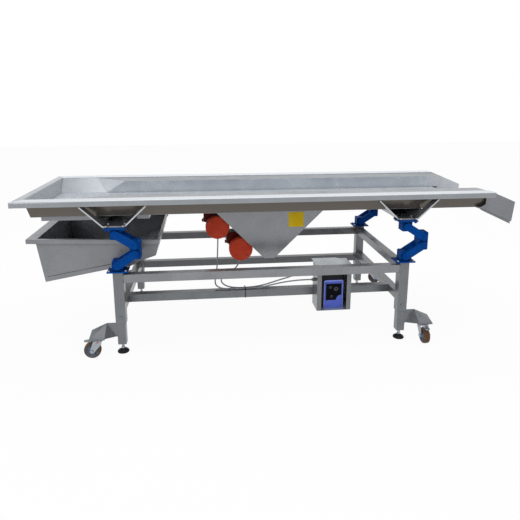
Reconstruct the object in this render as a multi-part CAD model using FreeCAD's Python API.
import FreeCAD, Part
import math
import os

# Vibrating sorting table: a stainless trough on four rubber oscillating mounts,
# shaken by two unbalance motors, standing on a tube frame with feet and casters.
# Millimetres. X runs from infeed to discharge, Y from front to rear, Z up.
# The origin is on the floor, under the middle of the bounding box.

V = FreeCAD.Vector

# Tray
OVERALL_LENGTH = 3045.0
RIM_LENGTH = 2862.0
RIM_WIDTH = 1000.0
RIM_HEIGHT = 950.0
SIDE_LIP = 90.0
END_LIP = 50.0
LIP_DROP = 32.0
BODY_DEPTH = 109.0
SIDE_LEAN = 25.0
END_LEAN = 26.0
LEDGE_WIDTH = 145.0
LEDGE_STEP = 5.0
LEDGE_FALL = 9.0
TROUGH_DEPTH = 90.0
HOPPER_TOP = 300.0
HOPPER_FLOOR = 385.0
HOPPER_END = 515.0
SHEET = 3.0
BEND = 4.0
SEAT = 0.3

# Perforated deck over the fines outlet
DECK_START = 140.0
DECK_END = 780.0
DECK_WIDTH = 460.0
SLOT_LENGTH = 44.0
SLOT_WIDTH = 5.0
SLOT_PITCH_X = 58.0
SLOT_PITCH_Y = 40.0
DECK_MARGIN = 22.0

# Fines outlet under the infeed end
COLLAR_START = 130.0
COLLAR_END = 750.0
COLLAR_DEPTH = 24.0
COLLAR_WIDTH = 760.0
COLLAR_GAP = 5.0

# Discharge chute
CHUTE_START = 2800.0
CHUTE_FLAT = 12.0
CHUTE_FALL = 94.0
CHEEK_TOP = 2.0
CHEEK_RISE = 112.0
CHEEK_TIP_TOP = 78.0
CHUTE_TIP_BACK = 13.0
CHUTE_FLANGE = 18.0
CHUTE_FLANGE_INSET = 10.0

# Cradles that carry the tray on its mounts
CRADLE_BOTTOM = 126.0
CRADLE_TOP = 380.0
CRADLE_HEIGHT = 120.0
CRADLE_PLATE = 8.0
CRADLE_LENGTH = 960.0
CRADLE_EAR = 60.0
CRADLE_OUTSET = 8.0

# Oscillating mounts
MOUNT_HEIGHT = 268.0
MOUNT_PLATE_LENGTH = 120.0
MOUNT_PLATE_WIDTH = 100.0
MOUNT_PLATE = 8.0
HOUSING = 62.0
HOUSING_LENGTH = 64.0
HOUSING_ROUND = 5.0
ARM_REACH = 107.0
ELBOW_DISTANCE = 52.0
ELBOW_ROUND = 6.0
ARM_WIDTH = 47.0
ARM_THICKNESS = 14.0
PIVOT_RADIUS = 12.0
PIVOT_DEPTH = 10.0
PIVOT_FIT = 0.06
OPEN_PIVOT_FIT = 0.6
HUB_RADIUS = 18.0

# Frame
LEG_TUBE = 60.0
EXTENSION_TUBE = 50.0
SLIDE_FIT = 0.3
RAIL_TUBE = 50.0
TUBE_WALL = 3.0
CAP = 5.0
LEG_SPACING = 1746.0
FRAME_CENTRE = -84.5
FRAME_WIDTH = 974.0
LEG_TOP = 520.0
LEG_STEP = 190.0
LEG_END = 58.0
EXTENSION_OVERLAP = 100.0
CLAMP_HEIGHT = 235.0
CLAMP_RADIUS = 9.0
UPPER_RAIL_TOP = 503.0
LOWER_RAIL_TOP = 304.0
LOWER_RAIL_INSET = 187.0
REAR_RAIL_TOP = 280.0

# Levelling feet
PAD_RADIUS = 35.0
PAD_RIM = 7.0
PAD_HEIGHT = 24.0
SPINDLE_RADIUS = 8.0
SPINDLE_COLLAR = 12.0
NUT_RADIUS = 14.0
NUT_HEIGHT = 10.0

# Casters
WHEEL_RADIUS = 50.0
WHEEL_WIDTH = 36.0
WHEEL_LIFT = 3.0
TREAD = 10.0
TREAD_BEVEL = 5.0
WHEEL_RECESS = 8.0
WHEEL_HUB = 15.0
CASTER_HEIGHT = 128.0
CASTER_TRAIL = 35.0
CASTER_REACH = 132.0
CASTER_FORWARD = 61.0
CASTER_PLATE_X = 90.0
CASTER_PLATE_Y = 80.0
CASTER_PLATE = 4.0
FORK_SHEET = 4.0
FORK_GAP = 5.0
FORK_TOP = 10.0
CROWN_RADIUS = 31.0
SWIVEL_RADIUS = 24.0
FORK_REAR = 24.0
FORK_FRONT = 22.0
FORK_NOSE = 20.0
FORK_FOOT_BACK = 13.0
FORK_FOOT_FRONT = 14.0
FORK_FOOT_DROP = 13.0
FORK_FOOT_BEVEL = 6.0
AXLE_RADIUS = 6.0
AXLE_FIT = 0.06
AXLE_HEAD = 10.0
BRACKET_SHEET = 4.0
BRACKET_BASE = 6.0
BRACKET_TOP = 200.0
BRACKET_LOW = 110.0
BRACKET_TIP = 160.0
BRACKET_SHOULDER = 84.0

# Drive: V bracket and two unbalance motors
BRACKET_TOP_LEFT = -415.0
BRACKET_TOP_RIGHT = 380.0
BRACKET_TIP_LEFT = -56.0
BRACKET_TIP_RIGHT = 11.0
BRACKET_DEPTH = 363.0
BRACKET_WIDTH = 360.0
BRACKET_PLATE = 8.0
MOTOR_PLATE = 15.0
MOTOR_PLATE_INSET = 14.0
MOTOR_PLATE_END = 485.0
MOTOR_LENGTH = 310.0
MOTOR_RADIUS = 70.0
MOTOR_AXIS = 83.0
MOTOR_FOOT = 14.0
MOTOR_FOOT_SPAN = 150.0
MOTOR_FOOT_LENGTH = 160.0
MOTOR_NECK = 96.0
MOTOR_NECK_LENGTH = 144.0
COVER_RADIUS = 79.0
COVER_LENGTH = 52.0
COVER_ROUND = 16.0
UPPER_MOTOR_ALONG = 145.0
MOTOR_SPACING = 217.0
TERMINAL_LEFT = 86.0
TERMINAL_TOP = 94.0
TERMINAL_LOW = 14.0
TERMINAL_LENGTH = 100.0
TERMINAL_ROUND = 8.0
PLUG_RADIUS = 11.0
PLUG_LENGTH = 17.0
PLUG_Y = -30.0

# Motor cables, with the sleeves they hang from and the glands they end in
CABLE = 9.0
CORD_SHARE = 0.45
SLEEVE_RADIUS = 14.0
SLEEVE_BORE = 10.5
SLEEVE_LENGTH = 24.0
SLEEVE_DEPTH = 14.0
GLAND_RADIUS = 9.0
GLAND_NUT = 12.0
GLAND_NUT_LENGTH = 8.0
GLAND_X = 226
TIE_X = -194.0
TIE_WIDTH = 5.0
TIE_SHEET = 1.6
TIE_HEADROOM = 10.8
CABLE_UPPER_MOTOR = [(-360, -50, 600), (-361, -52, 548), (-364, -62, 495), (-367, -92, 445),
                     (-371, -130, 401), (-380, -172, 366), (-388, -214, 334), (-380, -246, 319),
                     (-348, -272, 311), (-300, -284, 310), (-245, -285, 309.4), (-190, -284, 309.6),
                     (-130, -285, 311), (-66, -291, 320), (-4, -303, 338), (58, -322, 357),
                     (116, -346, 373), (172, -368, 384), (GLAND_X, -368, 384)]
CABLE_LOWER_MOTOR = [(-213, -60, 446), (-220, -73, 410), (-246, -108, 388), (-290, -142, 370),
                     (-332, -172, 356), (-350, -208, 343), (-336, -246, 329), (-298, -264, 316),
                     (-246, -269, 310), (-190, -268.5, 309.4), (-136, -268, 312), (-80, -273, 322),
                     (-25, -285, 342), (28, -303, 366), (78, -325, 388), (122, -350, 414),
                     (158, -380, 446), (190, -400, 462), (GLAND_X, -400, 462)]

# Catch bin under the infeed end
BIN_LEFT = 27.0
BIN_RIGHT = 803.0
BIN_WIDTH = 750.0
BIN_RIM_LEFT = 702.0
BIN_RIM_RIGHT = 676.0
BIN_FLANGE = 46.0
BIN_FRONT_FLANGE = 20.0
BIN_FLANGE_DROP = 26.0
BIN_LOW_X = 113.0
BIN_LOW = 429.0
BIN_SEAT_START = 528.0
BIN_SEAT_END = 602.0
BIN_RISE_X = 690.0
BIN_RISE = 545.0
BIN_LIP_X = 776.0
BIN_LIP = 575.0
BIN_SHEET = 3.0

# Control box
HOOD_CENTRE = 357.5
HOOD_WIDTH = 218.0
HOOD_BOTTOM = 198.0
HOOD_TOP = 498.0
HOOD_SHEET = 2.5
HOOD_FLANGE = 28.0
ROOF_OVERHANG = 10.0
ROOF_CLIP = 70.0
UNIT_WIDTH = 146.0
UNIT_HEIGHT = 232.0
UNIT_DEPTH = 92.0
UNIT_ROUND = 6.0
DISPLAY_WIDTH = 104.0
DISPLAY_HEIGHT = 122.0
DISPLAY_RECESS = 2.0
DISPLAY_RISE = 34.0

LEFT = -OVERALL_LENGTH / 2
RIM_END = LEFT + RIM_LENGTH
HALF_WIDTH = RIM_WIDTH / 2
SKIRT_TOP_Y = HALF_WIDTH - SIDE_LIP
SKIRT_FOOT_Y = SKIRT_TOP_Y - SIDE_LEAN
GUIDE_Y = SKIRT_TOP_Y - LEDGE_WIDTH
BODY_FOOT = RIM_HEIGHT - BODY_DEPTH
PAN_TOP = BODY_FOOT
PAN_FOOT = PAN_TOP - SHEET
FLOOR_TOP = RIM_HEIGHT - TROUGH_DEPTH
FLOOR_FOOT = FLOOR_TOP - SHEET
LEDGE_OUTER = RIM_HEIGHT - LEDGE_STEP
LEDGE_INNER = RIM_HEIGHT - LEDGE_FALL
LEG_X = {"left": FRAME_CENTRE - LEG_SPACING / 2, "right": FRAME_CENTRE + LEG_SPACING / 2}
LEG_Y = (FRAME_WIDTH - LEG_TUBE) / 2
SIDES = {"front": -1, "rear": 1}
OUTWARD = {"left": -1, "right": 1}
MOUNT_TOP = LEG_TOP + MOUNT_HEIGHT
LOWER_PIVOT_Z = LEG_TOP + MOUNT_PLATE + HOUSING / 2
UPPER_PIVOT_Z = MOUNT_TOP - MOUNT_PLATE - HOUSING / 2
ELBOW_LOW_Z = (LOWER_PIVOT_Z + UPPER_PIVOT_Z - ELBOW_DISTANCE) / 2
ELBOW_HIGH_Z = ELBOW_LOW_Z + ELBOW_DISTANCE
HOUSING_HALF = HOUSING_LENGTH / 2
ARM_INNER = HOUSING_HALF + SEAT
RAIL_HALF = RAIL_TUBE / 2
RAIL_OUTER_Y = FRAME_WIDTH / 2
CASTER_Y = LEG_Y + CASTER_FORWARD
CASTER_TOP = WHEEL_LIFT + CASTER_HEIGHT
AXLE_Z = WHEEL_LIFT + WHEEL_RADIUS
FORK_INNER = WHEEL_WIDTH / 2 + FORK_GAP
FORK_CROWN = CASTER_TOP - CASTER_PLATE - SEAT
HOOD_FRONT = -(RAIL_OUTER_Y - RAIL_TUBE - SEAT)
HOOD_REAR = -(RAIL_OUTER_Y - LOWER_RAIL_INSET + SEAT)
EDGE_RUN = BRACKET_TIP_LEFT - BRACKET_TOP_LEFT
EDGE_ANGLE = math.degrees(math.atan2(BRACKET_DEPTH, EDGE_RUN))


def box(x0, x1, y0, y1, z0, z1):
    """Block between two corners."""
    return Part.makeBox(x1 - x0, y1 - y0, z1 - z0, V(x0, y0, z0))


def polygon(points):
    """Closed flat face through 3-D points."""
    return Part.Face(Part.makePolygon(points + [points[0]]))


def prism_xz(outline, y0, y1):
    """Outline given as (x, z), extruded from y0 to y1."""
    return polygon([V(x, y0, z) for x, z in outline]).extrude(V(0, y1 - y0, 0))


def prism_xy(outline, z0, z1):
    """Outline given as (x, y), extruded from z0 to z1."""
    return polygon([V(x, y, z0) for x, y in outline]).extrude(V(0, 0, z1 - z0))


def prism_yz(outline, x0, x1):
    """Outline given as (y, z), extruded from x0 to x1."""
    return polygon([V(x0, y, z) for y, z in outline]).extrude(V(x1 - x0, 0, 0))


def rod(start, end, radius):
    """Round bar between two points."""
    axis = end.sub(start)
    return Part.makeCylinder(radius, axis.Length, start, axis)


def fuse(shapes):
    """One solid out of pieces that are welded together."""
    body = shapes[0]
    for shape in shapes[1:]:
        body = body.fuse(shape)
    return body.removeSplitter()


def mirror_y(shape):
    """The same piece on the other side of the table."""
    return shape.mirror(V(0, 0, 0), V(0, 1, 0))


def on_side(shape, side):
    """A piece modelled for the rear side, placed on the front or the rear."""
    return shape if side > 0 else mirror_y(shape)


def round_edges(shape, radius, axis):
    """Round the straight edges of a block that run along an axis."""
    chosen = []
    for edge in shape.Edges:
        start, end = (vertex.Point for vertex in edge.Vertexes)
        if end.sub(start).cross(axis).Length < 1e-6:
            chosen.append(edge)
    return shape.makeFillet(radius, chosen)


def sub(a, b):
    return (a[0] - b[0], a[1] - b[1])


def unit(a):
    length = math.hypot(a[0], a[1])
    return (a[0] / length, a[1] / length)


def offset_line(points, distance):
    """Polyline moved to its left by a distance, with mitred corners."""
    moved = []
    last = len(points) - 1
    for i, point in enumerate(points):
        before = points[max(i - 1, 0)]
        after = points[min(i + 1, last)]
        first = unit(sub(point, before)) if i else unit(sub(after, point))
        second = unit(sub(after, point)) if i < last else first
        normal = unit((-(first[1] + second[1]), first[0] + second[0]))
        stretch = distance / (-first[1] * normal[0] + first[0] * normal[1])
        moved.append((point[0] + normal[0] * stretch, point[1] + normal[1] * stretch))
    return moved


def rounded_run(points, radii, place):
    """Edges through points, with a tangent arc of its own radius at each inner one."""
    edges = []
    start = points[0]
    for i in range(1, len(points) - 1):
        back = unit(sub(points[i - 1], points[i]))
        ahead = unit(sub(points[i + 1], points[i]))
        half = math.acos(max(-1.0, min(1.0, back[0] * ahead[0] + back[1] * ahead[1]))) / 2
        setback = radii[i] / math.tan(half)
        reach = radii[i] / math.sin(half) - radii[i]
        middle = unit((back[0] + ahead[0], back[1] + ahead[1]))
        enter = (points[i][0] + back[0] * setback, points[i][1] + back[1] * setback)
        leave = (points[i][0] + ahead[0] * setback, points[i][1] + ahead[1] * setback)
        crown = (points[i][0] + middle[0] * reach, points[i][1] + middle[1] * reach)
        edges.append(Part.LineSegment(place(start), place(enter)).toShape())
        edges.append(Part.Arc(place(enter), place(crown), place(leave)).toShape())
        start = leave
    edges.append(Part.LineSegment(place(start), place(points[-1])).toShape())
    return edges


def bent_face(points, thickness, bend, place):
    """Section of a folded sheet: one face follows the points, the other lies to its left."""
    other = offset_line(points, thickness)
    near = [0.0]
    far = [0.0]
    for i in range(1, len(points) - 1):
        first = sub(points[i], points[i - 1])
        second = sub(points[i + 1], points[i])
        left_turn = first[0] * second[1] - first[1] * second[0] > 0
        near.append(bend + thickness if left_turn else bend)
        far.append(bend if left_turn else bend + thickness)
    near.append(0.0)
    far.append(0.0)
    edges = rounded_run(points, near, place)
    edges.append(Part.LineSegment(place(points[-1]), place(other[-1])).toShape())
    edges += rounded_run(other[::-1], far[::-1], place)
    edges.append(Part.LineSegment(place(other[0]), place(points[0])).toShape())
    return Part.Face(Part.Wire(edges))


def bent_along_x(points, thickness, bend, x0, x1):
    """Folded sheet with its section as (y, z), running along X."""
    face = bent_face(points, thickness, bend, lambda p: V(x0, p[0], p[1]))
    return face.extrude(V(x1 - x0, 0, 0))


def bent_along_y(points, thickness, bend, y0, y1):
    """Folded sheet with its section as (x, z), running along Y."""
    face = bent_face(points, thickness, bend, lambda p: V(p[0], y0, p[1]))
    return face.extrude(V(0, y1 - y0, 0))


def tube_x(x0, x1, y, z, size):
    """Square tube along X, centred on y and z."""
    half = size / 2
    bore = half - TUBE_WALL
    outside = box(x0, x1, y - half, y + half, z - half, z + half)
    return outside.cut(box(x0, x1, y - bore, y + bore, z - bore, z + bore))


def tube_y(y0, y1, x, z, size):
    """Square tube along Y, centred on x and z."""
    half = size / 2
    bore = half - TUBE_WALL
    outside = box(x - half, x + half, y0, y1, z - half, z + half)
    return outside.cut(box(x - bore, x + bore, y0, y1, z - bore, z + bore))


def skirt_y(z):
    """Inner face of the side skirt at a height."""
    return SKIRT_TOP_Y - SIDE_LEAN * (RIM_HEIGHT - z) / BODY_DEPTH


def end_wall_x(z):
    """Inner face of the infeed end wall at a height."""
    return LEFT + END_LIP + END_LEAN * (RIM_HEIGHT - z) / BODY_DEPTH


def rim_section():
    """Down-turned lip, flat lip and leaning skirt, as (y, z) on the rear side."""
    below = PAN_FOOT
    return [(HALF_WIDTH, RIM_HEIGHT - LIP_DROP), (HALF_WIDTH, RIM_HEIGHT),
            (SKIRT_TOP_Y, RIM_HEIGHT), (skirt_y(below), below)]


def under_tray():
    """Space below the foot of the rims."""
    return box(LEFT, -LEFT, -RIM_WIDTH, RIM_WIDTH, 0, BODY_FOOT)


def mitre_region():
    """Plan area at the infeed end where the end lip takes over from the side lips."""
    corner = (LEFT, -HALF_WIDTH)
    inner = (LEFT + END_LIP, -SKIRT_TOP_Y)
    foot = (inner[0] + END_LEAN, -SKIRT_FOOT_Y)
    out = (2 * corner[0] - inner[0], 2 * corner[1] - inner[1])
    deep = (2 * foot[0] - inner[0], 2 * foot[1] - inner[1])
    front = [out, corner, inner, foot, deep]
    rear = [(x, -y) for x, y in reversed(front)]
    far = LEFT - 3 * END_LIP
    outline = front + rear + [(far, -out[1]), (far, out[1])]
    return prism_xy(outline, PAN_FOOT - SHEET, RIM_HEIGHT + SHEET)


def side_rim(side):
    """Long rim of one side: lip, down-turned edge and skirt, mitred at the infeed."""
    rim = bent_along_x(rim_section(), SHEET, BEND, LEFT, RIM_END)
    return on_side(rim.cut(mitre_region()).cut(under_tray()), side)


def infeed_rim():
    """Lip and sloping end wall of the infeed end."""
    section = [(end_wall_x(PAN_FOOT), PAN_FOOT), (LEFT + END_LIP, RIM_HEIGHT),
               (LEFT, RIM_HEIGHT), (LEFT, RIM_HEIGHT - LIP_DROP)]
    rim = bent_along_y(section, SHEET, BEND, -HALF_WIDTH, HALF_WIDTH)
    return rim.common(mitre_region()).cut(under_tray())


def past_plane(points, shift):
    """Everything on the infeed side of the plane through three points, moved by a shift."""
    middle = (points[0] + points[1] + points[2]) * (1 / 3)
    normal = points[1].sub(points[0]).cross(points[2].sub(points[0]))
    normal.normalize()
    if normal.x > 0:
        normal = normal * -1
    spread = OVERALL_LENGTH / HOPPER_END * 2
    corners = [middle + (p - middle) * spread - normal * shift for p in points]
    return polygon(corners).extrude(normal * OVERALL_LENGTH)


def guide_core(shift, edge_y):
    """Space behind the guide's faces, all of them moved back by a shift."""
    foot = FLOOR_TOP
    slope = unit((edge_y - GUIDE_Y, LEDGE_OUTER - foot))
    normal = (slope[1], -slope[0])
    low = (GUIDE_Y + normal[0] * shift - slope[0] * shift, foot + normal[1] * shift - slope[1] * shift)
    high = (edge_y + normal[0] * shift + slope[0] * shift, LEDGE_OUTER + normal[1] * shift + slope[1] * shift)
    below = foot - 2 * shift
    hopper = prism_yz([low, high, (high[0], below), (low[0], below)], LEFT, RIM_END + shift)
    fall = (LEDGE_OUTER - LEDGE_INNER) / (edge_y - GUIDE_Y) * shift
    run = prism_yz([(GUIDE_Y + shift, foot - shift), (GUIDE_Y + shift, LEDGE_INNER - shift + fall),
                    (edge_y + shift, LEDGE_OUTER - shift + fall), (edge_y + shift, foot - shift)],
                   LEFT, RIM_END + shift)
    facet = [V(LEFT + HOPPER_TOP, edge_y, LEDGE_OUTER), V(LEFT + HOPPER_END, GUIDE_Y, LEDGE_INNER),
             V(LEFT + HOPPER_FLOOR, GUIDE_Y, foot)]
    return hopper.fuse(run.cut(past_plane(facet, shift)))


def side_guide(side):
    """Ledge and inner wall of one side, flaring out into the infeed hopper."""
    edge_y = skirt_y(LEDGE_OUTER - SHEET) - SEAT
    guide = guide_core(0.0, edge_y).cut(guide_core(SHEET, edge_y))
    foot_x = end_wall_x(FLOOR_TOP) + SEAT
    top_x = end_wall_x(RIM_HEIGHT) + SEAT
    end = prism_xz([(LEFT - END_LIP, FLOOR_TOP), (foot_x, FLOOR_TOP), (top_x, RIM_HEIGHT),
                    (LEFT - END_LIP, RIM_HEIGHT)], 0, HALF_WIDTH)
    guide = guide.cut(end).removeSplitter()
    return on_side(max(guide.Solids, key=lambda solid: solid.Volume), side)


def deck_opening():
    """Rectangle in the floor that the perforated deck fills."""
    return (LEFT + DECK_START, LEFT + DECK_END, -DECK_WIDTH / 2, DECK_WIDTH / 2)


def screen_floor():
    """Trough floor between the skirts, cut out for the perforated deck."""
    wide = skirt_y(FLOOR_FOOT) - SEAT
    floor = box(end_wall_x(FLOOR_FOOT) + SEAT, LEFT + CHUTE_START, -wide, wide, FLOOR_FOOT, FLOOR_TOP)
    x0, x1, y0, y1 = deck_opening()
    return floor.cut(box(x0, x1, y0, y1, FLOOR_FOOT, FLOOR_TOP))


def screen_deck():
    """Slotted screen plate let into the floor over the fines outlet."""
    x0, x1, y0, y1 = deck_opening()
    deck = box(x0 + SEAT, x1 - SEAT, y0 + SEAT, y1 - SEAT, FLOOR_FOOT, FLOOR_TOP)
    columns = int((x1 - x0 - 2 * DECK_MARGIN + SLOT_PITCH_X - SLOT_LENGTH) / SLOT_PITCH_X)
    rows = int((y1 - y0 - 2 * DECK_MARGIN) / SLOT_PITCH_Y)
    start_x = (x0 + x1 - (columns - 1) * SLOT_PITCH_X - SLOT_LENGTH) / 2
    start_y = (y0 + y1 - (rows - 1) * SLOT_PITCH_Y - SLOT_WIDTH) / 2
    slots = []
    for column in range(columns):
        for row in range(rows):
            x = start_x + column * SLOT_PITCH_X
            y = start_y + row * SLOT_PITCH_Y
            slots.append(box(x, x + SLOT_LENGTH, y, y + SLOT_WIDTH, FLOOR_FOOT, FLOOR_TOP))
    return deck.cut(Part.makeCompound(slots))


def cradle_section(centre):
    """Underside of a cradle, as (x, z)."""
    low = CRADLE_BOTTOM / 2
    high = CRADLE_TOP / 2
    return [(centre - high, MOUNT_TOP + CRADLE_HEIGHT), (centre - low, MOUNT_TOP),
            (centre + low, MOUNT_TOP), (centre + high, MOUNT_TOP + CRADLE_HEIGHT)]


def cradle_reach(z):
    """Half length of a cradle's outer faces at a height."""
    share = (z - MOUNT_TOP) / CRADLE_HEIGHT
    return CRADLE_BOTTOM / 2 + (CRADLE_TOP - CRADLE_BOTTOM) / 2 * share


def cradle_centre(end):
    """Middle of the left or right cradle along the table."""
    return LEG_X[end] + OUTWARD[end] * CRADLE_OUTSET


def cradle(end):
    """Bent plate across the table, up to the pan, with an ear beyond each skirt."""
    half = CRADLE_LENGTH / 2
    plate = bent_along_y(cradle_section(cradle_centre(end)), CRADLE_PLATE, CRADLE_PLATE, -half, half)
    clear = half - CRADLE_EAR
    return plate.cut(box(LEFT, -LEFT, -clear, clear, PAN_FOOT, RIM_HEIGHT))


def collar_spans():
    """Stretches of the fines collar, left and right of the cradle."""
    middle = cradle_centre("left")
    reach = cradle_reach(PAN_FOOT) + COLLAR_GAP
    return [(LEFT + COLLAR_START, middle - reach), (middle + reach, LEFT + COLLAR_END)]


def fines_collar():
    """Open sheet frames under the pan that guide the fines down, one each side of the cradle."""
    half = COLLAR_WIDTH / 2
    foot = PAN_FOOT - COLLAR_DEPTH
    frames = []
    for x0, x1 in collar_spans():
        outside = box(x0, x1, -half, half, foot, PAN_FOOT)
        inside = box(x0 + SHEET, x1 - SHEET, -half + SHEET, half - SHEET, foot, PAN_FOOT)
        frames.append(outside.cut(inside))
    return Part.makeCompound(frames)


def bottom_pan():
    """Closing sheet under the skirts, open over the fines collar."""
    half = SKIRT_FOOT_Y + SHEET
    pan = box(end_wall_x(PAN_TOP) - SHEET, LEFT + CHUTE_START, -half, half, PAN_FOOT, PAN_TOP)
    wide = COLLAR_WIDTH / 2 - SHEET
    for x0, x1 in collar_spans():
        pan = pan.cut(box(x0 + SHEET, x1 - SHEET, -wide, wide, PAN_FOOT, PAN_TOP))
    return pan


def discharge_chute():
    """Sloping discharge pan with two cheeks and a stiffening flange under each edge."""
    start = LEFT + CHUTE_START
    tip = -LEFT - CHUTE_TIP_BACK
    tip_z = PAN_TOP - CHUTE_FALL
    half = SKIRT_TOP_Y + SHEET + SEAT
    run = [(tip, tip_z), (start + CHUTE_FLAT, PAN_TOP), (start, PAN_TOP)]
    pan = bent_along_y(run, SHEET, BEND, -half, half)
    top = RIM_HEIGHT - CHEEK_TOP
    cheek = [(start + CHUTE_FLAT, PAN_FOOT), (tip, tip_z - SHEET), (-LEFT, RIM_HEIGHT - CHEEK_TIP_TOP),
             (RIM_END + CHEEK_TOP, top), (RIM_END - CHUTE_FLAT, top - LIP_DROP),
             (start + 2 * CHEEK_TOP * CHUTE_FLAT, FLOOR_TOP), (start + CHUTE_FLAT, PAN_TOP)]
    flange = [(start + CHUTE_FLAT, PAN_FOOT), (tip, tip_z - SHEET), (tip, tip_z - SHEET - CHUTE_FLANGE),
              (start + CHUTE_FLAT + CHUTE_FLANGE, PAN_FOOT - CHUTE_FLANGE)]
    pieces = [pan]
    for side in SIDES.values():
        pieces.append(on_side(prism_xz(cheek, half, half + SHEET), side))
        inner = half - CHUTE_FLANGE_INSET
        pieces.append(on_side(prism_xz(flange, inner - SHEET, inner), side))
    return fuse(pieces)


def along_edge(distance, out):
    """Point (x, z) that lies along the V bracket's left edge and out from it."""
    direction = unit((EDGE_RUN, -BRACKET_DEPTH))
    return (BRACKET_TOP_LEFT + direction[0] * distance + direction[1] * out,
            PAN_FOOT + direction[1] * distance - direction[0] * out)


def motor_axis(name):
    """Axis of the upper or lower motor, as (x, z)."""
    along = UPPER_MOTOR_ALONG + (MOTOR_SPACING if name == "lower" else 0.0)
    return along_edge(along, MOTOR_AXIS - MOTOR_PLATE_INSET)


def drive_bracket():
    """Two V plates under the pan, with the thick motor plate between their left edges."""
    outline = [(BRACKET_TOP_LEFT, PAN_FOOT), (BRACKET_TIP_LEFT, PAN_FOOT - BRACKET_DEPTH),
               (BRACKET_TIP_RIGHT, PAN_FOOT - BRACKET_DEPTH), (BRACKET_TOP_RIGHT, PAN_FOOT)]
    half = BRACKET_WIDTH / 2
    plates = [prism_xz(outline, half - BRACKET_PLATE, half), prism_xz(outline, -half, BRACKET_PLATE - half)]
    face = [along_edge(-BRACKET_DEPTH, -MOTOR_PLATE_INSET), along_edge(MOTOR_PLATE_END, -MOTOR_PLATE_INSET),
            along_edge(MOTOR_PLATE_END, -MOTOR_PLATE_INSET - MOTOR_PLATE),
            along_edge(-BRACKET_DEPTH, -MOTOR_PLATE_INSET - MOTOR_PLATE)]
    plate = prism_xz(face, -half, half).cut(box(LEFT, -LEFT, -half, half, PAN_FOOT, 2 * RIM_HEIGHT))
    return fuse(plates + [plate])


def tilted(shape, name):
    """Turn a motor piece modelled with its foot towards +X and put it on its axis."""
    x, z = motor_axis(name)
    shape = shape.copy()
    shape.rotate(V(0, 0, 0), V(0, 1, 0), EDGE_ANGLE - 90)
    shape.translate(V(x, 0, z))
    return shape


def vibrator(name):
    """Unbalance motor without its end covers: barrel, foot with neck and terminal box."""
    barrel = MOTOR_LENGTH / 2 - COVER_LENGTH
    body = rod(V(0, -barrel, 0), V(0, barrel, 0), MOTOR_RADIUS)
    span = MOTOR_FOOT_SPAN / 2
    width = MOTOR_FOOT_LENGTH / 2
    foot = box(MOTOR_AXIS - MOTOR_FOOT, MOTOR_AXIS, -width, width, -span, span)
    neck_half = MOTOR_NECK_LENGTH / 2
    neck = box(0, MOTOR_AXIS - MOTOR_FOOT / 2, -neck_half, neck_half, -MOTOR_NECK / 2, MOTOR_NECK / 2)
    motor = tilted(fuse([body, neck, foot]), name)
    x, z = motor_axis(name)
    half = TERMINAL_LENGTH / 2
    terminal = box(x - TERMINAL_LEFT, x, -half, half, z + TERMINAL_LOW, z + TERMINAL_TOP)
    terminal = round_edges(terminal, TERMINAL_ROUND, V(0, 1, 0))
    plug = rod(V(x, PLUG_Y, z + TERMINAL_LOW + PLUG_RADIUS),
               V(x - TERMINAL_LEFT - PLUG_LENGTH, PLUG_Y, z + TERMINAL_LOW + PLUG_RADIUS), PLUG_RADIUS)
    cable_x, cable_y, _ = (CABLE_UPPER_MOTOR if name == "upper" else CABLE_LOWER_MOTOR)[0]
    foot_z = z - MOTOR_RADIUS - SLEEVE_LENGTH
    sleeve = rod(V(cable_x, cable_y, foot_z), V(cable_x, cable_y, z), SLEEVE_RADIUS)
    bore = rod(V(cable_x, cable_y, foot_z), V(cable_x, cable_y, foot_z + SLEEVE_DEPTH), SLEEVE_BORE)
    return fuse([motor, terminal, plug, sleeve]).cut(bore)


def end_cover(side):
    """Domed cover over the unbalance weights at one end of a motor."""
    inner = MOTOR_LENGTH / 2 - COVER_LENGTH
    cover = rod(V(0, inner + SEAT, 0), V(0, MOTOR_LENGTH / 2, 0), COVER_RADIUS)
    edges = [edge for edge in cover.Edges if abs(edge.CenterOfMass.y - MOTOR_LENGTH / 2) < 1]
    return on_side(cover.makeFillet(COVER_ROUND, edges), side)


def motor_covers():
    """The four end covers of both motors."""
    return Part.makeCompound([tilted(end_cover(side), name) for name in ("upper", "lower")
                              for side in SIDES.values()])


def blind_bore(x, y, z, side, radius, depth):
    """Round pocket in the end face of a housing."""
    face = y + side * HOUSING_HALF
    return rod(V(x, face + side, z), V(x, face - side * depth, z), radius)


def housing_block(x, y, z, height, radius):
    """Square rubber-spring housing with rounded long edges."""
    half = HOUSING / 2
    block = box(x - half, x + half, y - HOUSING_HALF, y + HOUSING_HALF, z, z + height)
    return round_edges(block, radius, V(0, 1, 0))


def mount_end(x, y, upper):
    """Base or top of a mount: flange plate and square housing with a pivot pocket each side."""
    half_x = MOUNT_PLATE_LENGTH / 2
    half_y = MOUNT_PLATE_WIDTH / 2
    if upper:
        pivot_z = UPPER_PIVOT_Z
        plate = box(x - half_x, x + half_x, y - half_y, y + half_y, MOUNT_TOP - MOUNT_PLATE, MOUNT_TOP)
        fit = OPEN_PIVOT_FIT
    else:
        pivot_z = LOWER_PIVOT_Z
        plate = box(x - half_x, x + half_x, y - half_y, y + half_y, LEG_TOP, LEG_TOP + MOUNT_PLATE)
        fit = PIVOT_FIT
    piece = fuse([plate, housing_block(x, y, pivot_z - HOUSING / 2, HOUSING, HOUSING_ROUND)])
    for side in SIDES.values():
        piece = piece.cut(blind_bore(x, y, pivot_z, side, PIVOT_RADIUS + fit, PIVOT_DEPTH + SEAT))
    return piece


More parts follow.
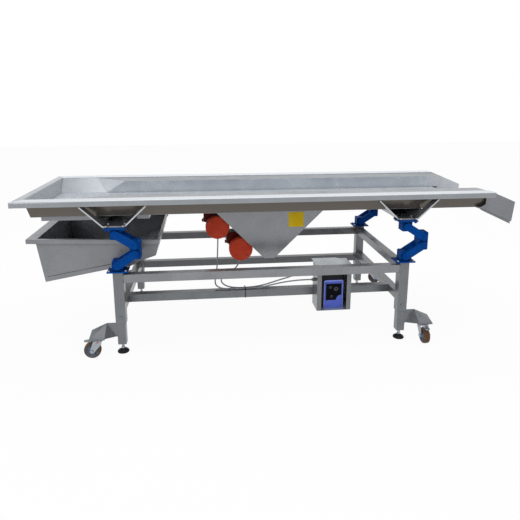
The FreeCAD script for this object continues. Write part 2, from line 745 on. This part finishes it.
def arm(start, end, y0, y1):
    """Flat link with round ends between two pivots given as (x, z)."""
    along = unit(sub(end, start))
    half = ARM_WIDTH / 2
    out = (-along[1] * half, along[0] * half)
    corners = [V(start[0] + out[0], y0, start[1] + out[1]), V(end[0] + out[0], y0, end[1] + out[1]),
               V(end[0] - out[0], y0, end[1] - out[1]), V(start[0] - out[0], y0, start[1] - out[1])]
    tip = V(end[0] + along[0] * half, y0, end[1] + along[1] * half)
    tail = V(start[0] - along[0] * half, y0, start[1] - along[1] * half)
    edges = [Part.LineSegment(corners[0], corners[1]), Part.Arc(corners[1], tip, corners[2]),
             Part.LineSegment(corners[2], corners[3]), Part.Arc(corners[3], tail, corners[0])]
    return Part.Face(Part.Wire([edge.toShape() for edge in edges])).extrude(V(0, y1 - y0, 0))


def stub(pivot, y, side):
    """Short pivot pin that reaches from an arm into a housing."""
    face = y + side * HOUSING_HALF
    root = V(pivot[0], face + side * (SEAT + 1), pivot[1])
    return rod(root, V(pivot[0], face - side * PIVOT_DEPTH, pivot[1]), PIVOT_RADIUS)


def side_arm(start, end, y, side):
    """Arm on one side of a mount."""
    inner = y + side * ARM_INNER
    outer = inner + side * ARM_THICKNESS
    return arm(start, end, min(inner, outer), max(inner, outer))


def lower_link(x, y):
    """Elbow block with the two lower arms fixed to it."""
    base = (x, LOWER_PIVOT_Z)
    elbow = (x + ARM_REACH, ELBOW_LOW_Z)
    half = HOUSING / 2
    block = housing_block(x + ARM_REACH, y, ELBOW_LOW_Z - half, ELBOW_DISTANCE + HOUSING, ELBOW_ROUND)
    pieces = [block]
    for side in SIDES.values():
        face = y + side * HOUSING_HALF
        pieces.append(side_arm(base, elbow, y, side))
        pieces.append(stub(base, y, side))
        hub_end = V(elbow[0], face + side * (SEAT + 1), elbow[1])
        pieces.append(rod(V(elbow[0], face - side, elbow[1]), hub_end, HUB_RADIUS))
    link = fuse(pieces)
    for side in SIDES.values():
        link = link.cut(blind_bore(x + ARM_REACH, y, ELBOW_HIGH_Z, side, PIVOT_RADIUS + PIVOT_FIT,
                                   PIVOT_DEPTH + SEAT))
    return link


def upper_link(x, y):
    """The two upper arms, from the elbow to the top housing."""
    elbow = (x + ARM_REACH, ELBOW_HIGH_Z)
    top = (x, UPPER_PIVOT_Z)
    arms = [fuse([side_arm(elbow, top, y, side), stub(elbow, y, side), stub(top, y, side)])
            for side in SIDES.values()]
    return Part.makeCompound(arms)


def leg(x, y):
    """Upright tube with a closed top, sleeve for the extension and its clamp bolt."""
    half = LEG_TUBE / 2
    bore = EXTENSION_TUBE / 2 + SLIDE_FIT
    tube = box(x - half, x + half, y - half, y + half, LEG_STEP, LEG_TOP)
    tube = tube.cut(box(x - bore, x + bore, y - bore, y + bore, LEG_STEP, LEG_TOP - CAP))
    outward = 1 if y > 0 else -1
    face = y + outward * half
    head = V(x, face + outward * CAP, CLAMP_HEIGHT)
    return tube.fuse(rod(V(x, face - outward, CLAMP_HEIGHT), head, CLAMP_RADIUS))


def extension(x, y):
    """Inner tube that slides out of the leg, closed at its lower end."""
    half = EXTENSION_TUBE / 2
    bore = half - TUBE_WALL
    tube = box(x - half, x + half, y - half, y + half, LEG_END, LEG_STEP + EXTENSION_OVERLAP)
    return tube.cut(box(x - bore, x + bore, y - bore, y + bore, LEG_END + CAP, LEG_STEP + EXTENSION_OVERLAP))


def foot(x, y):
    """Levelling foot: domed pad, spindle and lock nut."""
    profile = [V(0, 0, 0), V(PAD_RADIUS, 0, 0), V(PAD_RADIUS, 0, PAD_RIM), V(SPINDLE_COLLAR, 0, PAD_HEIGHT),
               V(SPINDLE_RADIUS, 0, PAD_HEIGHT), V(SPINDLE_RADIUS, 0, LEG_END - NUT_HEIGHT),
               V(NUT_RADIUS, 0, LEG_END - NUT_HEIGHT), V(NUT_RADIUS, 0, LEG_END), V(0, 0, LEG_END)]
    piece = polygon(profile).revolve(V(0, 0, 0), V(0, 0, 1), 360)
    piece.translate(V(x, y, 0))
    return piece


def upper_rail(side):
    """Long rail between the legs, flush with their outer faces."""
    y = side * (RAIL_OUTER_Y - RAIL_HALF)
    half = LEG_TUBE / 2
    return tube_x(LEG_X["left"] + half, LEG_X["right"] - half, y, UPPER_RAIL_TOP - RAIL_HALF, RAIL_TUBE)


def front_lower_rail():
    """Long lower rail, set back between the end rails."""
    y = -(RAIL_OUTER_Y - LOWER_RAIL_INSET - RAIL_HALF)
    z = LOWER_RAIL_TOP - RAIL_HALF
    return tube_x(LEG_X["left"] + RAIL_HALF, LEG_X["right"] - RAIL_HALF, y, z, RAIL_TUBE)


def rear_lower_rail():
    """Long lower rail between the rear legs."""
    y = RAIL_OUTER_Y - RAIL_HALF
    half = LEG_TUBE / 2
    return tube_x(LEG_X["left"] + half, LEG_X["right"] - half, y, REAR_RAIL_TOP - RAIL_HALF, RAIL_TUBE)


def end_rails(end):
    """Upper and lower cross rails between the front and the rear leg."""
    reach = LEG_Y - LEG_TUBE / 2
    return Part.makeCompound([tube_y(-reach, reach, LEG_X[end], top - RAIL_HALF, RAIL_TUBE)
                              for top in (UPPER_RAIL_TOP, LOWER_RAIL_TOP)])


def caster_bracket(end, side):
    """Folded bracket on the leg extension that carries a caster, modelled for the rear right."""
    face = EXTENSION_TUBE / 2
    sleeve = LEG_TUBE / 2 + SEAT
    step = LEG_STEP - SEAT
    x0 = CASTER_REACH - CASTER_PLATE_X / 2
    x1 = CASTER_REACH + CASTER_PLATE_X / 2
    outer = LEG_Y + face
    y1 = CASTER_Y + CASTER_PLATE_Y / 2
    low = CASTER_TOP
    web = prism_xz([(face, BRACKET_LOW), (face, step), (sleeve, step), (sleeve, BRACKET_TOP),
                    (BRACKET_SHOULDER, BRACKET_TOP), (x1 - BRACKET_SHEET, BRACKET_TIP), (x1, low),
                    (sleeve + face, low), (sleeve, BRACKET_LOW)], outer - BRACKET_SHEET, outer)
    base = box(x0, x1, outer - BRACKET_SHEET, y1, low, low + BRACKET_BASE)
    shoulder = V(BRACKET_SHOULDER, outer - SEAT, BRACKET_TOP - SEAT)
    tip = V(x1 - BRACKET_SHEET, outer - SEAT, BRACKET_TIP - SEAT)
    far = V(x1 - SEAT, y1 - SEAT, low + BRACKET_BASE - SEAT)
    near = V(x0 + SEAT, y1 - SEAT, low + BRACKET_BASE - SEAT)
    down = V(0, -1, -1) * (BRACKET_SHEET / 2)
    cover = [polygon([shoulder, tip, far]).extrude(down), polygon([shoulder, far, near]).extrude(down)]
    plate = box(x0, x1, CASTER_Y - CASTER_PLATE_Y / 2, y1, low - CASTER_PLATE, low)
    bracket = fuse([web, base, plate] + cover)
    if end == "left":
        bracket = bracket.mirror(V(0, 0, 0), V(1, 0, 0))
    bracket.translate(V(LEG_X[end], 0, 0))
    return on_side(bracket, side)


def caster_fork(x, y, angle):
    """Swivel fork with crown and axle, trailing along -X before it is turned."""
    top = FORK_CROWN - FORK_TOP
    axle_x = -CASTER_TRAIL
    back = axle_x - FORK_FOOT_BACK
    front = axle_x + FORK_FOOT_FRONT
    bevel = FORK_FOOT_BEVEL
    foot_z = AXLE_Z - FORK_FOOT_DROP
    outline = [(FORK_FRONT, top), (-FORK_REAR, top), (back, AXLE_Z), (back + bevel, foot_z),
               (front - bevel, foot_z), (front, foot_z + bevel), (FORK_FRONT, top - FORK_NOSE)]
    crown = [rod(V(0, 0, top - FORK_SHEET), V(0, 0, top + FORK_SHEET / 2), CROWN_RADIUS),
             rod(V(0, 0, top), V(0, 0, FORK_CROWN), SWIVEL_RADIUS)]
    bridge = box(-FORK_REAR, FORK_FRONT, -FORK_INNER, FORK_INNER, top - FORK_SHEET, top)
    sides = [on_side(prism_xz(outline, FORK_INNER, FORK_INNER + FORK_SHEET), side) for side in SIDES.values()]
    reach = FORK_INNER + FORK_SHEET
    axle = rod(V(axle_x, -reach, AXLE_Z), V(axle_x, reach, AXLE_Z), AXLE_RADIUS)
    outer = reach + FORK_SHEET
    heads = [rod(V(axle_x, side * reach, AXLE_Z), V(axle_x, side * outer, AXLE_Z), AXLE_HEAD)
             for side in SIDES.values()]
    fork = fuse(crown + [bridge] + sides + [axle] + heads)
    return turned(fork, x, y, angle)


def caster_wheel(x, y, angle):
    """Wheel with a rounded tread, recessed sides and a bored hub."""
    half = WHEEL_WIDTH / 2
    core = WHEEL_RADIUS - TREAD
    bore = AXLE_RADIUS + AXLE_FIT
    bevel = TREAD_BEVEL
    web = half - WHEEL_RECESS
    profile = [V(bore, -half, 0), V(WHEEL_HUB, -half, 0), V(WHEEL_HUB, -web, 0), V(core, -web, 0),
               V(core, -half, 0), V(WHEEL_RADIUS - bevel, -half, 0), V(WHEEL_RADIUS, -half + bevel, 0),
               V(WHEEL_RADIUS, half - bevel, 0), V(WHEEL_RADIUS - bevel, half, 0), V(core, half, 0),
               V(core, web, 0), V(WHEEL_HUB, web, 0), V(WHEEL_HUB, half, 0), V(bore, half, 0)]
    wheel = polygon(profile).revolve(V(0, 0, 0), V(0, 1, 0), 360)
    wheel.translate(V(-CASTER_TRAIL, 0, AXLE_Z))
    return turned(wheel, x, y, angle)


def turned(shape, x, y, angle):
    """Swing a caster piece about its swivel axis and put it in place."""
    shape.rotate(V(0, 0, 0), V(0, 0, 1), angle)
    shape.translate(V(x, y, 0))
    return shape


def bin_rim_z(x):
    """Height of the catch bin's sloping rim."""
    share = (x - BIN_LEFT) / (BIN_RIGHT - BIN_LEFT)
    return BIN_RIM_LEFT + (BIN_RIM_RIGHT - BIN_RIM_LEFT) * share


def catch_bin():
    """Sheet hopper bin with a sloping rim and a seat on the left upper end rail."""
    wall = BIN_LEFT + BIN_FLANGE
    half = BIN_WIDTH / 2 - BIN_FRONT_FLANGE
    run = [(wall, bin_rim_z(wall)), (BIN_LOW_X, BIN_LOW), (BIN_SEAT_START, UPPER_RAIL_TOP),
           (BIN_SEAT_END, UPPER_RAIL_TOP), (BIN_RISE_X, BIN_RISE), (BIN_LIP_X, BIN_LIP),
           (BIN_RIGHT, bin_rim_z(BIN_RIGHT))]
    inner = offset_line(run, BIN_SHEET)
    over = 2 * BIN_FLANGE
    outside = prism_xz(run, -half, half)
    above = [(x, z + over) for x, z in (inner[0], inner[-1])]
    inside = prism_xz([above[0]] + inner[1:-1] + [above[1]], -half + BIN_SHEET, half - BIN_SHEET)
    pieces = [outside.cut(inside)]
    for side in SIDES.values():
        strip = [(BIN_LEFT, bin_rim_z(BIN_LEFT)), (BIN_RIGHT, bin_rim_z(BIN_RIGHT)),
                 (BIN_RIGHT, bin_rim_z(BIN_RIGHT) - BIN_SHEET), (BIN_LEFT, bin_rim_z(BIN_LEFT) - BIN_SHEET)]
        drop = strip[:2] + [(BIN_RIGHT, bin_rim_z(BIN_RIGHT) - BIN_FLANGE_DROP),
                            (BIN_LEFT, bin_rim_z(BIN_LEFT) - BIN_FLANGE_DROP)]
        pieces.append(on_side(prism_xz(strip, half - BIN_SHEET, BIN_WIDTH / 2), side))
        pieces.append(on_side(prism_xz(drop, BIN_WIDTH / 2 - BIN_SHEET, BIN_WIDTH / 2), side))
    end_strip = [(BIN_LEFT, bin_rim_z(BIN_LEFT)), (wall + BIN_SHEET, bin_rim_z(wall + BIN_SHEET)),
                 (wall + BIN_SHEET, bin_rim_z(wall + BIN_SHEET) - BIN_SHEET),
                 (BIN_LEFT, bin_rim_z(BIN_LEFT) - BIN_SHEET)]
    pieces.append(prism_xz(end_strip, -BIN_WIDTH / 2, BIN_WIDTH / 2))
    pieces.append(box(BIN_LEFT, BIN_LEFT + BIN_SHEET, -BIN_WIDTH / 2, BIN_WIDTH / 2,
                      BIN_RIM_LEFT - BIN_FLANGE_DROP, BIN_RIM_LEFT - BIN_SHEET))
    tub = fuse(pieces)
    tub.translate(V(LEFT, 0, 0))
    return tub


def control_hood():
    """Sheet hood between the rails, open to the front, with return flanges and a roof plate."""
    x0 = HOOD_CENTRE - HOOD_WIDTH / 2
    x1 = HOOD_CENTRE + HOOD_WIDTH / 2
    shell = box(x0, x1, HOOD_FRONT, HOOD_REAR, HOOD_BOTTOM, HOOD_TOP)
    inside = box(x0 + HOOD_SHEET, x1 - HOOD_SHEET, HOOD_FRONT + HOOD_SHEET, HOOD_REAR - HOOD_SHEET,
                 HOOD_BOTTOM + HOOD_SHEET, HOOD_TOP - HOOD_SHEET)
    window = box(x0 + HOOD_FLANGE, x1 - HOOD_FLANGE, HOOD_FRONT, HOOD_FRONT + HOOD_SHEET,
                 HOOD_BOTTOM + HOOD_SHEET, HOOD_TOP - HOOD_SHEET)
    rear = HOOD_REAR + ROOF_OVERHANG
    roof = prism_xy([(x0 - ROOF_OVERHANG, HOOD_FRONT), (x1, HOOD_FRONT), (x1, rear - ROOF_CLIP),
                     (x1 - ROOF_CLIP, rear), (x0 - ROOF_OVERHANG, rear)], HOOD_TOP, HOOD_TOP + HOOD_SHEET)
    glands = []
    for x, y, z in (CABLE_UPPER_MOTOR[-1], CABLE_LOWER_MOTOR[-1]):
        glands.append(rod(V(x, y, z), V(x0 + HOOD_SHEET, y, z), GLAND_RADIUS))
        glands.append(rod(V(x0 - GLAND_NUT_LENGTH, y, z), V(x0, y, z), GLAND_NUT))
    return fuse([shell.cut(inside).cut(window), roof] + glands)


def drive_unit():
    """Frequency converter inside the hood, with a recessed display panel."""
    half = UNIT_WIDTH / 2
    rear = HOOD_REAR - HOOD_SHEET
    front = rear - UNIT_DEPTH
    low = HOOD_BOTTOM + HOOD_SHEET
    unit_box = box(HOOD_CENTRE - half, HOOD_CENTRE + half, front, rear, low, low + UNIT_HEIGHT)
    unit_box = round_edges(unit_box, UNIT_ROUND, V(0, 0, 1))
    show = DISPLAY_WIDTH / 2
    z0 = low + UNIT_HEIGHT - DISPLAY_RISE - DISPLAY_HEIGHT
    panel = box(HOOD_CENTRE - show, HOOD_CENTRE + show, front, front + DISPLAY_RECESS, z0, z0 + DISPLAY_HEIGHT)
    return unit_box.cut(panel)


def cable_path(route):
    """Straight runs joined by tangent arcs, as large as the shorter run beside each allows."""
    points = [V(*point) for point in route]
    edges = []
    radii = []
    start = points[0]
    for before, point, after in zip(points, points[1:], points[2:]):
        back = before.sub(point)
        ahead = after.sub(point)
        setback = CORD_SHARE * min(back.Length, ahead.Length)
        back.normalize()
        ahead.normalize()
        half_turn = (math.pi - back.getAngle(ahead)) / 2
        radius = setback / math.tan(half_turn)
        middle = back.add(ahead)
        middle.normalize()
        crown = point + middle * (radius / math.cos(half_turn) - radius)
        enter = point + back * setback
        leave = point + ahead * setback
        edges.append(Part.LineSegment(start, enter).toShape())
        edges.append(Part.Arc(enter, crown, leave).toShape())
        radii.append(round(radius))
        start = leave
    edges.append(Part.LineSegment(start, points[-1]).toShape())
    print("cable radii", radii)
    return Part.Wire(edges)


def cable(route):
    """Round cable along a route."""
    path = cable_path(route)
    start = V(*route[0])
    direction = V(*route[1]).sub(start)
    ring = Part.Wire(Part.makeCircle(CABLE / 2, start, direction))
    tube = path.makePipeShell([ring], True, False)
    print("cable volume share", tube.Volume / (path.Length * math.pi * CABLE ** 2 / 4), "length", path.Length)
    return tube


def cable_tie():
    """Band round the front lower rail and both cables on it."""
    y0 = -(RAIL_OUTER_Y - LOWER_RAIL_INSET)
    z0 = LOWER_RAIL_TOP - RAIL_TUBE
    ring = []
    for grow in (SEAT + TIE_SHEET, SEAT):
        ring.append(box(TIE_X - TIE_WIDTH / 2, TIE_X + TIE_WIDTH / 2, y0 - grow, y0 + RAIL_TUBE + grow,
                        z0 - grow, LOWER_RAIL_TOP + TIE_HEADROOM + grow))
    return ring[0].cut(ring[1])


def corners():
    """Names and places of the four legs."""
    for depth, side in SIDES.items():
        for end in LEG_X:
            yield depth + "_" + end, LEG_X[end], side * LEG_Y, end, side


def tray_pieces():
    """Everything that shakes."""
    pieces = {
        "front_rim": side_rim(-1), "rear_rim": side_rim(1), "infeed_rim": infeed_rim(),
        "front_guide": side_guide(-1), "rear_guide": side_guide(1),
        "screen_floor": screen_floor(), "screen_deck": screen_deck(), "bottom_pan": bottom_pan(),
        "fines_collar": fines_collar(), "discharge_chute": discharge_chute(),
        "cradle_left": cradle("left"), "cradle_right": cradle("right"), "drive_bracket": drive_bracket(),
        "vibrator_upper": vibrator("upper"), "vibrator_lower": vibrator("lower"),
        "motor_covers": motor_covers(),
    }
    tops = [mount_end(x, y, True) for _, x, y, _, _ in corners()]
    pieces["mount_tops"] = Part.makeCompound(tops)
    return pieces


def frame_pieces():
    """Everything that stands on the floor."""
    pieces = {
        "front_upper_rail": upper_rail(-1), "rear_upper_rail": upper_rail(1),
        "front_lower_rail": front_lower_rail(), "rear_lower_rail": rear_lower_rail(),
        "left_end_rails": end_rails("left"), "right_end_rails": end_rails("right"),
        "catch_bin": catch_bin(), "control_hood": control_hood(), "drive_unit": drive_unit(),
        "cable_upper_motor": cable(CABLE_UPPER_MOTOR), "cable_lower_motor": cable(CABLE_LOWER_MOTOR),
        "cable_tie": cable_tie(),
    }
    for name, x, y, _, _ in corners():
        pieces["leg_" + name] = leg(x, y)
    shared = {"leg_extensions": extension, "levelling_feet": foot}
    for node, make in shared.items():
        pieces[node] = Part.makeCompound([make(x, y) for _, x, y, _, _ in corners()])
    pieces["mount_bases"] = Part.makeCompound([mount_end(x, y, False) for _, x, y, _, _ in corners()])
    brackets = [caster_bracket(end, side) for _, _, _, end, side in corners()]
    pieces["caster_brackets"] = Part.makeCompound(brackets)
    return pieces


def moving_pieces():
    """Links of the mounts, and the casters."""
    angles = {"front_left": 0, "front_right": 90, "rear_left": -90, "rear_right": 180}
    pieces = {}
    for name, x, y, end, side in corners():
        pieces["lower_link_" + name] = lower_link(x, y)
        pieces["upper_link_" + name] = upper_link(x, y)
        swivel = (x + OUTWARD[end] * CASTER_REACH, side * CASTER_Y, angles[name])
        pieces["caster_fork_" + name] = caster_fork(*swivel)
        pieces["caster_wheel_" + name] = caster_wheel(*swivel)
    return pieces


def main():
    """Build every piece and write one file for each."""
    os.makedirs("parts", exist_ok=True)
    pieces = {**tray_pieces(), **frame_pieces(), **moving_pieces()}
    for name, shape in pieces.items():
        print(name, shape.isValid(), len(shape.Solids), round(shape.Volume), shape.BoundBox)
        shape.exportStep("parts/" + name + ".step")


main()
